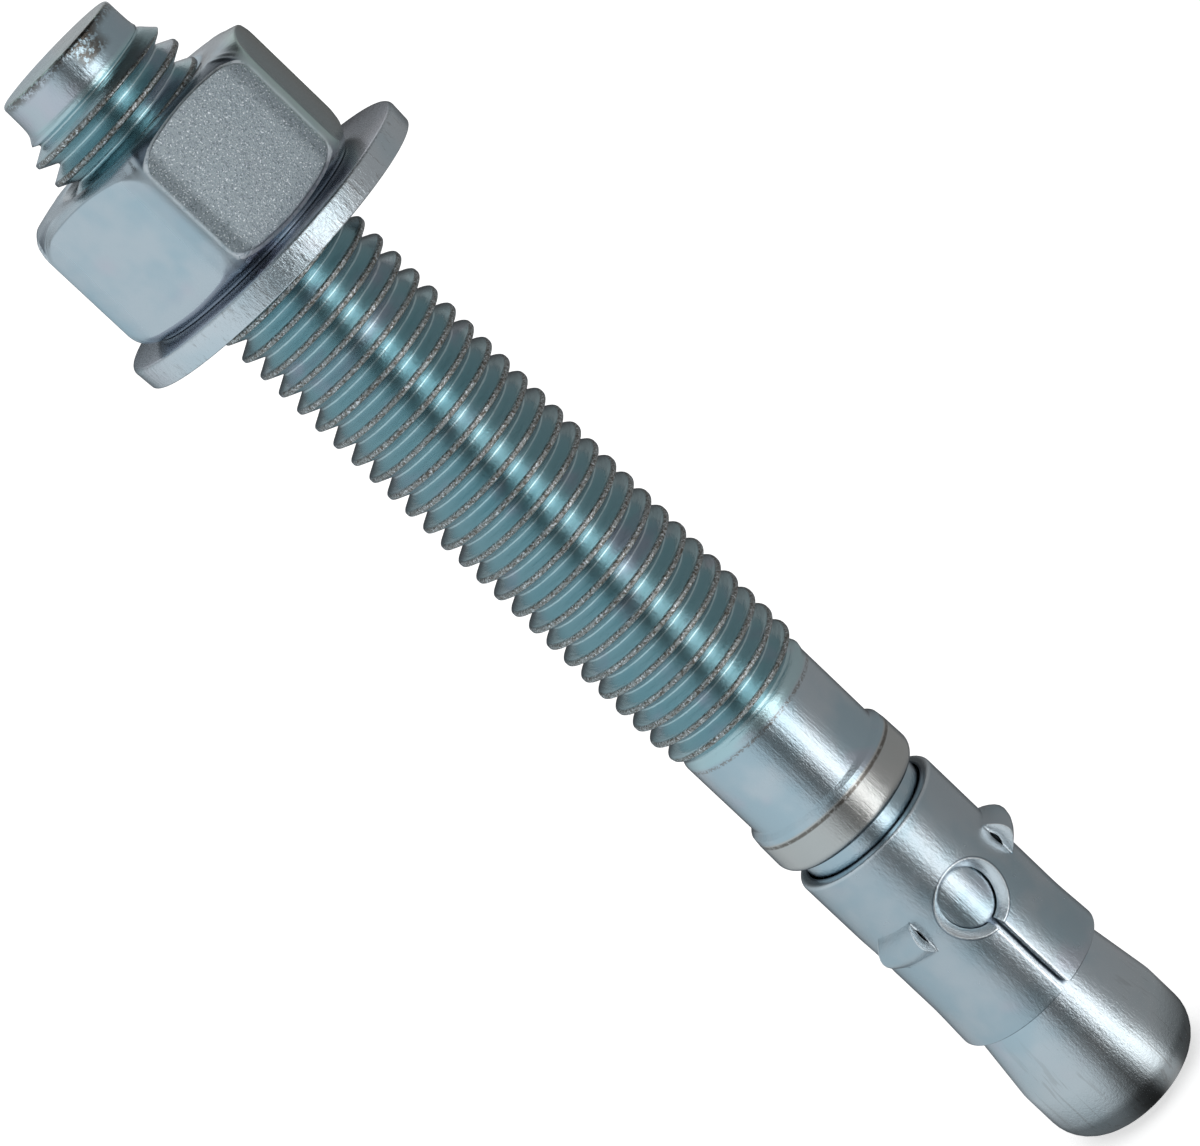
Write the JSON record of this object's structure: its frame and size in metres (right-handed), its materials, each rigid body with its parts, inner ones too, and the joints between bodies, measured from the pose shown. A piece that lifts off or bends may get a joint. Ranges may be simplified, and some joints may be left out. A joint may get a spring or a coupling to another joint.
{
  "type": "wedge anchor",
  "caption": "Straight threaded anchor bolt with a conical tip, a split expansion clip, a flat washer and a hex nut; it wedges in a drilled hole.",
  "frame": {"origin": "centre of the flat end of the conical tip, on the stud's axis", "axes": "+Z along the stud, from the tip up through the clip, collar and thread to the dog point; +X towards the side the loose washer leans to"},
  "size_m": [0.0373, 0.0374, 0.1587],
  "materials": {
    "stud_zinc": "bright blue-white zinc plate, rolled thread",
    "clip_zinc": "bright zinc plate on pressed sheet steel",
    "nut_zinc": "blue-white zinc plate on cold-formed steel",
    "washer_zinc": "zinc plate on stamped steel, sheared rim"
  },
  "bodies": {
    "stud": {"anchor_body": "stud_zinc"},
    "clip": {"expansion_clip": "clip_zinc"},
    "washer": {"flat_washer": "washer_zinc"},
    "nut": {"hex_nut": "nut_zinc"}
  },
  "joints": [
    {"name": "washer_slide", "type": "slide", "parent": "stud", "child": "washer", "axis": [0, 0, 1], "range_m": [-0.0661, 0.0204]},
    {"name": "nut_spin", "type": "hinge", "parent": "washer", "child": "nut", "pos_m": [0, 0, 0.13195], "axis": [0, 0, 1], "range_deg": [-9360, 2880]},
    {"name": "clip_slide", "type": "slide", "parent": "stud", "child": "clip", "axis": [0, 0, 1], "range_m": [0, 0.002]}
  ],
  "couplings": [
    {"joint": "washer_slide", "follows": "nut_spin", "m_per_rad": 0.00040425}
  ]
}
